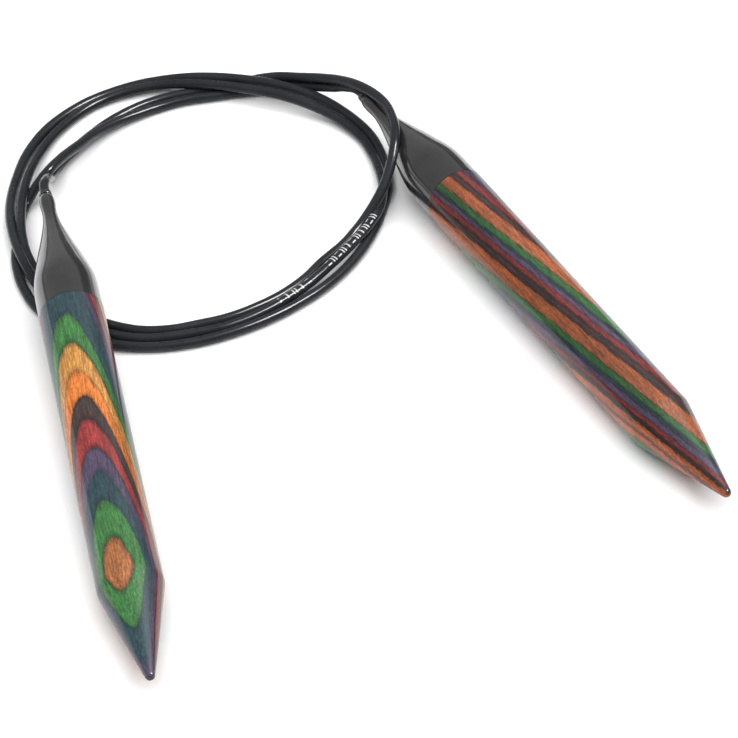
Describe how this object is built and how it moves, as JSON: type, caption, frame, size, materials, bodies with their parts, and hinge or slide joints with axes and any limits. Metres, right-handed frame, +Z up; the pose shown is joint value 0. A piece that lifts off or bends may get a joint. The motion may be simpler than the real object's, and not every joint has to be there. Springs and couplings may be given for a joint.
{
  "type": "circular knitting needle",
  "caption": "Circular knitting needle: pointed laminated wooden tips in black ferrules that swivel on the ends of one thin coiled cord.",
  "frame": {"origin": "middle of the floor area that the two needle tips cover, without the cord, on the surface that the needle lies on", "axes": "+Z up, -Y towards the pointed ends, +X to the right when the points face the viewer"},
  "size_m": [0.1368, 0.1712, 0.014],
  "materials": {
    "green_veneer": "dyed birch veneer under clear gloss lacquer",
    "amber_veneer": "light birch veneer under clear gloss lacquer",
    "orange_veneer": "dyed birch veneer under clear gloss lacquer",
    "brown_veneer": "dyed birch veneer under clear gloss lacquer",
    "red_veneer": "dyed birch veneer under clear gloss lacquer",
    "purple_veneer": "dyed birch veneer under clear gloss lacquer",
    "teal_veneer": "dyed birch veneer under clear gloss lacquer",
    "ferrule": "black moulded plastic, satin to gloss",
    "cord": "black flexible nylon, glossy",
    "collar": "black moulded ring",
    "bush": "turned brass, crimped on the cord"
  },
  "bodies": {
    "cord": {"cord_coil": "cord", "left_cord_run": "cord", "right_cord_run": "cord", "left_cord_end": "cord", "right_cord_end": "cord", "left_swivel_bush": "bush", "right_swivel_bush": "bush", "left_cord_collar": "collar", "right_cord_collar": "collar"},
    "left_needle": {"left_veneer_01": "orange_veneer", "left_veneer_02": "brown_veneer", "left_veneer_03": "red_veneer", "left_veneer_04": "purple_veneer", "left_veneer_05": "teal_veneer", "left_veneer_06": "green_veneer", "left_veneer_07": "amber_veneer", "left_veneer_08": "orange_veneer", "left_veneer_09": "brown_veneer", "left_veneer_10": "red_veneer", "left_veneer_11": "purple_veneer", "left_veneer_12": "teal_veneer", "left_veneer_13": "green_veneer", "left_veneer_14": "amber_veneer", "left_veneer_15": "orange_veneer", "left_veneer_16": "brown_veneer", "left_veneer_17": "red_veneer", "left_veneer_18": "purple_veneer", "left_veneer_19": "teal_veneer", "left_veneer_20": "green_veneer", "left_ferrule": "ferrule"},
    "right_needle": {"right_veneer_01": "purple_veneer", "right_veneer_02": "red_veneer", "right_veneer_03": "brown_veneer", "right_veneer_04": "orange_veneer", "right_veneer_05": "amber_veneer", "right_veneer_06": "green_veneer", "right_veneer_07": "teal_veneer", "right_veneer_08": "purple_veneer", "right_veneer_09": "red_veneer", "right_veneer_10": "brown_veneer", "right_veneer_11": "orange_veneer", "right_veneer_12": "amber_veneer", "right_veneer_13": "green_veneer", "right_veneer_14": "teal_veneer", "right_veneer_15": "purple_veneer", "right_veneer_16": "red_veneer", "right_veneer_17": "brown_veneer", "right_veneer_18": "orange_veneer", "right_ferrule": "ferrule"}
  },
  "joints": [
    {"name": "left_swivel", "type": "hinge", "parent": "cord", "child": "left_needle", "pos_m": [-0.05893, 0.03363, 0.00841], "axis": [0.1787, -0.9835, -0.0262], "continuous": true},
    {"name": "right_swivel", "type": "hinge", "parent": "cord", "child": "right_needle", "pos_m": [0.00491, 0.06646, 0.00728], "axis": [0.5015, -0.8651, -0.014], "continuous": true}
  ]
}
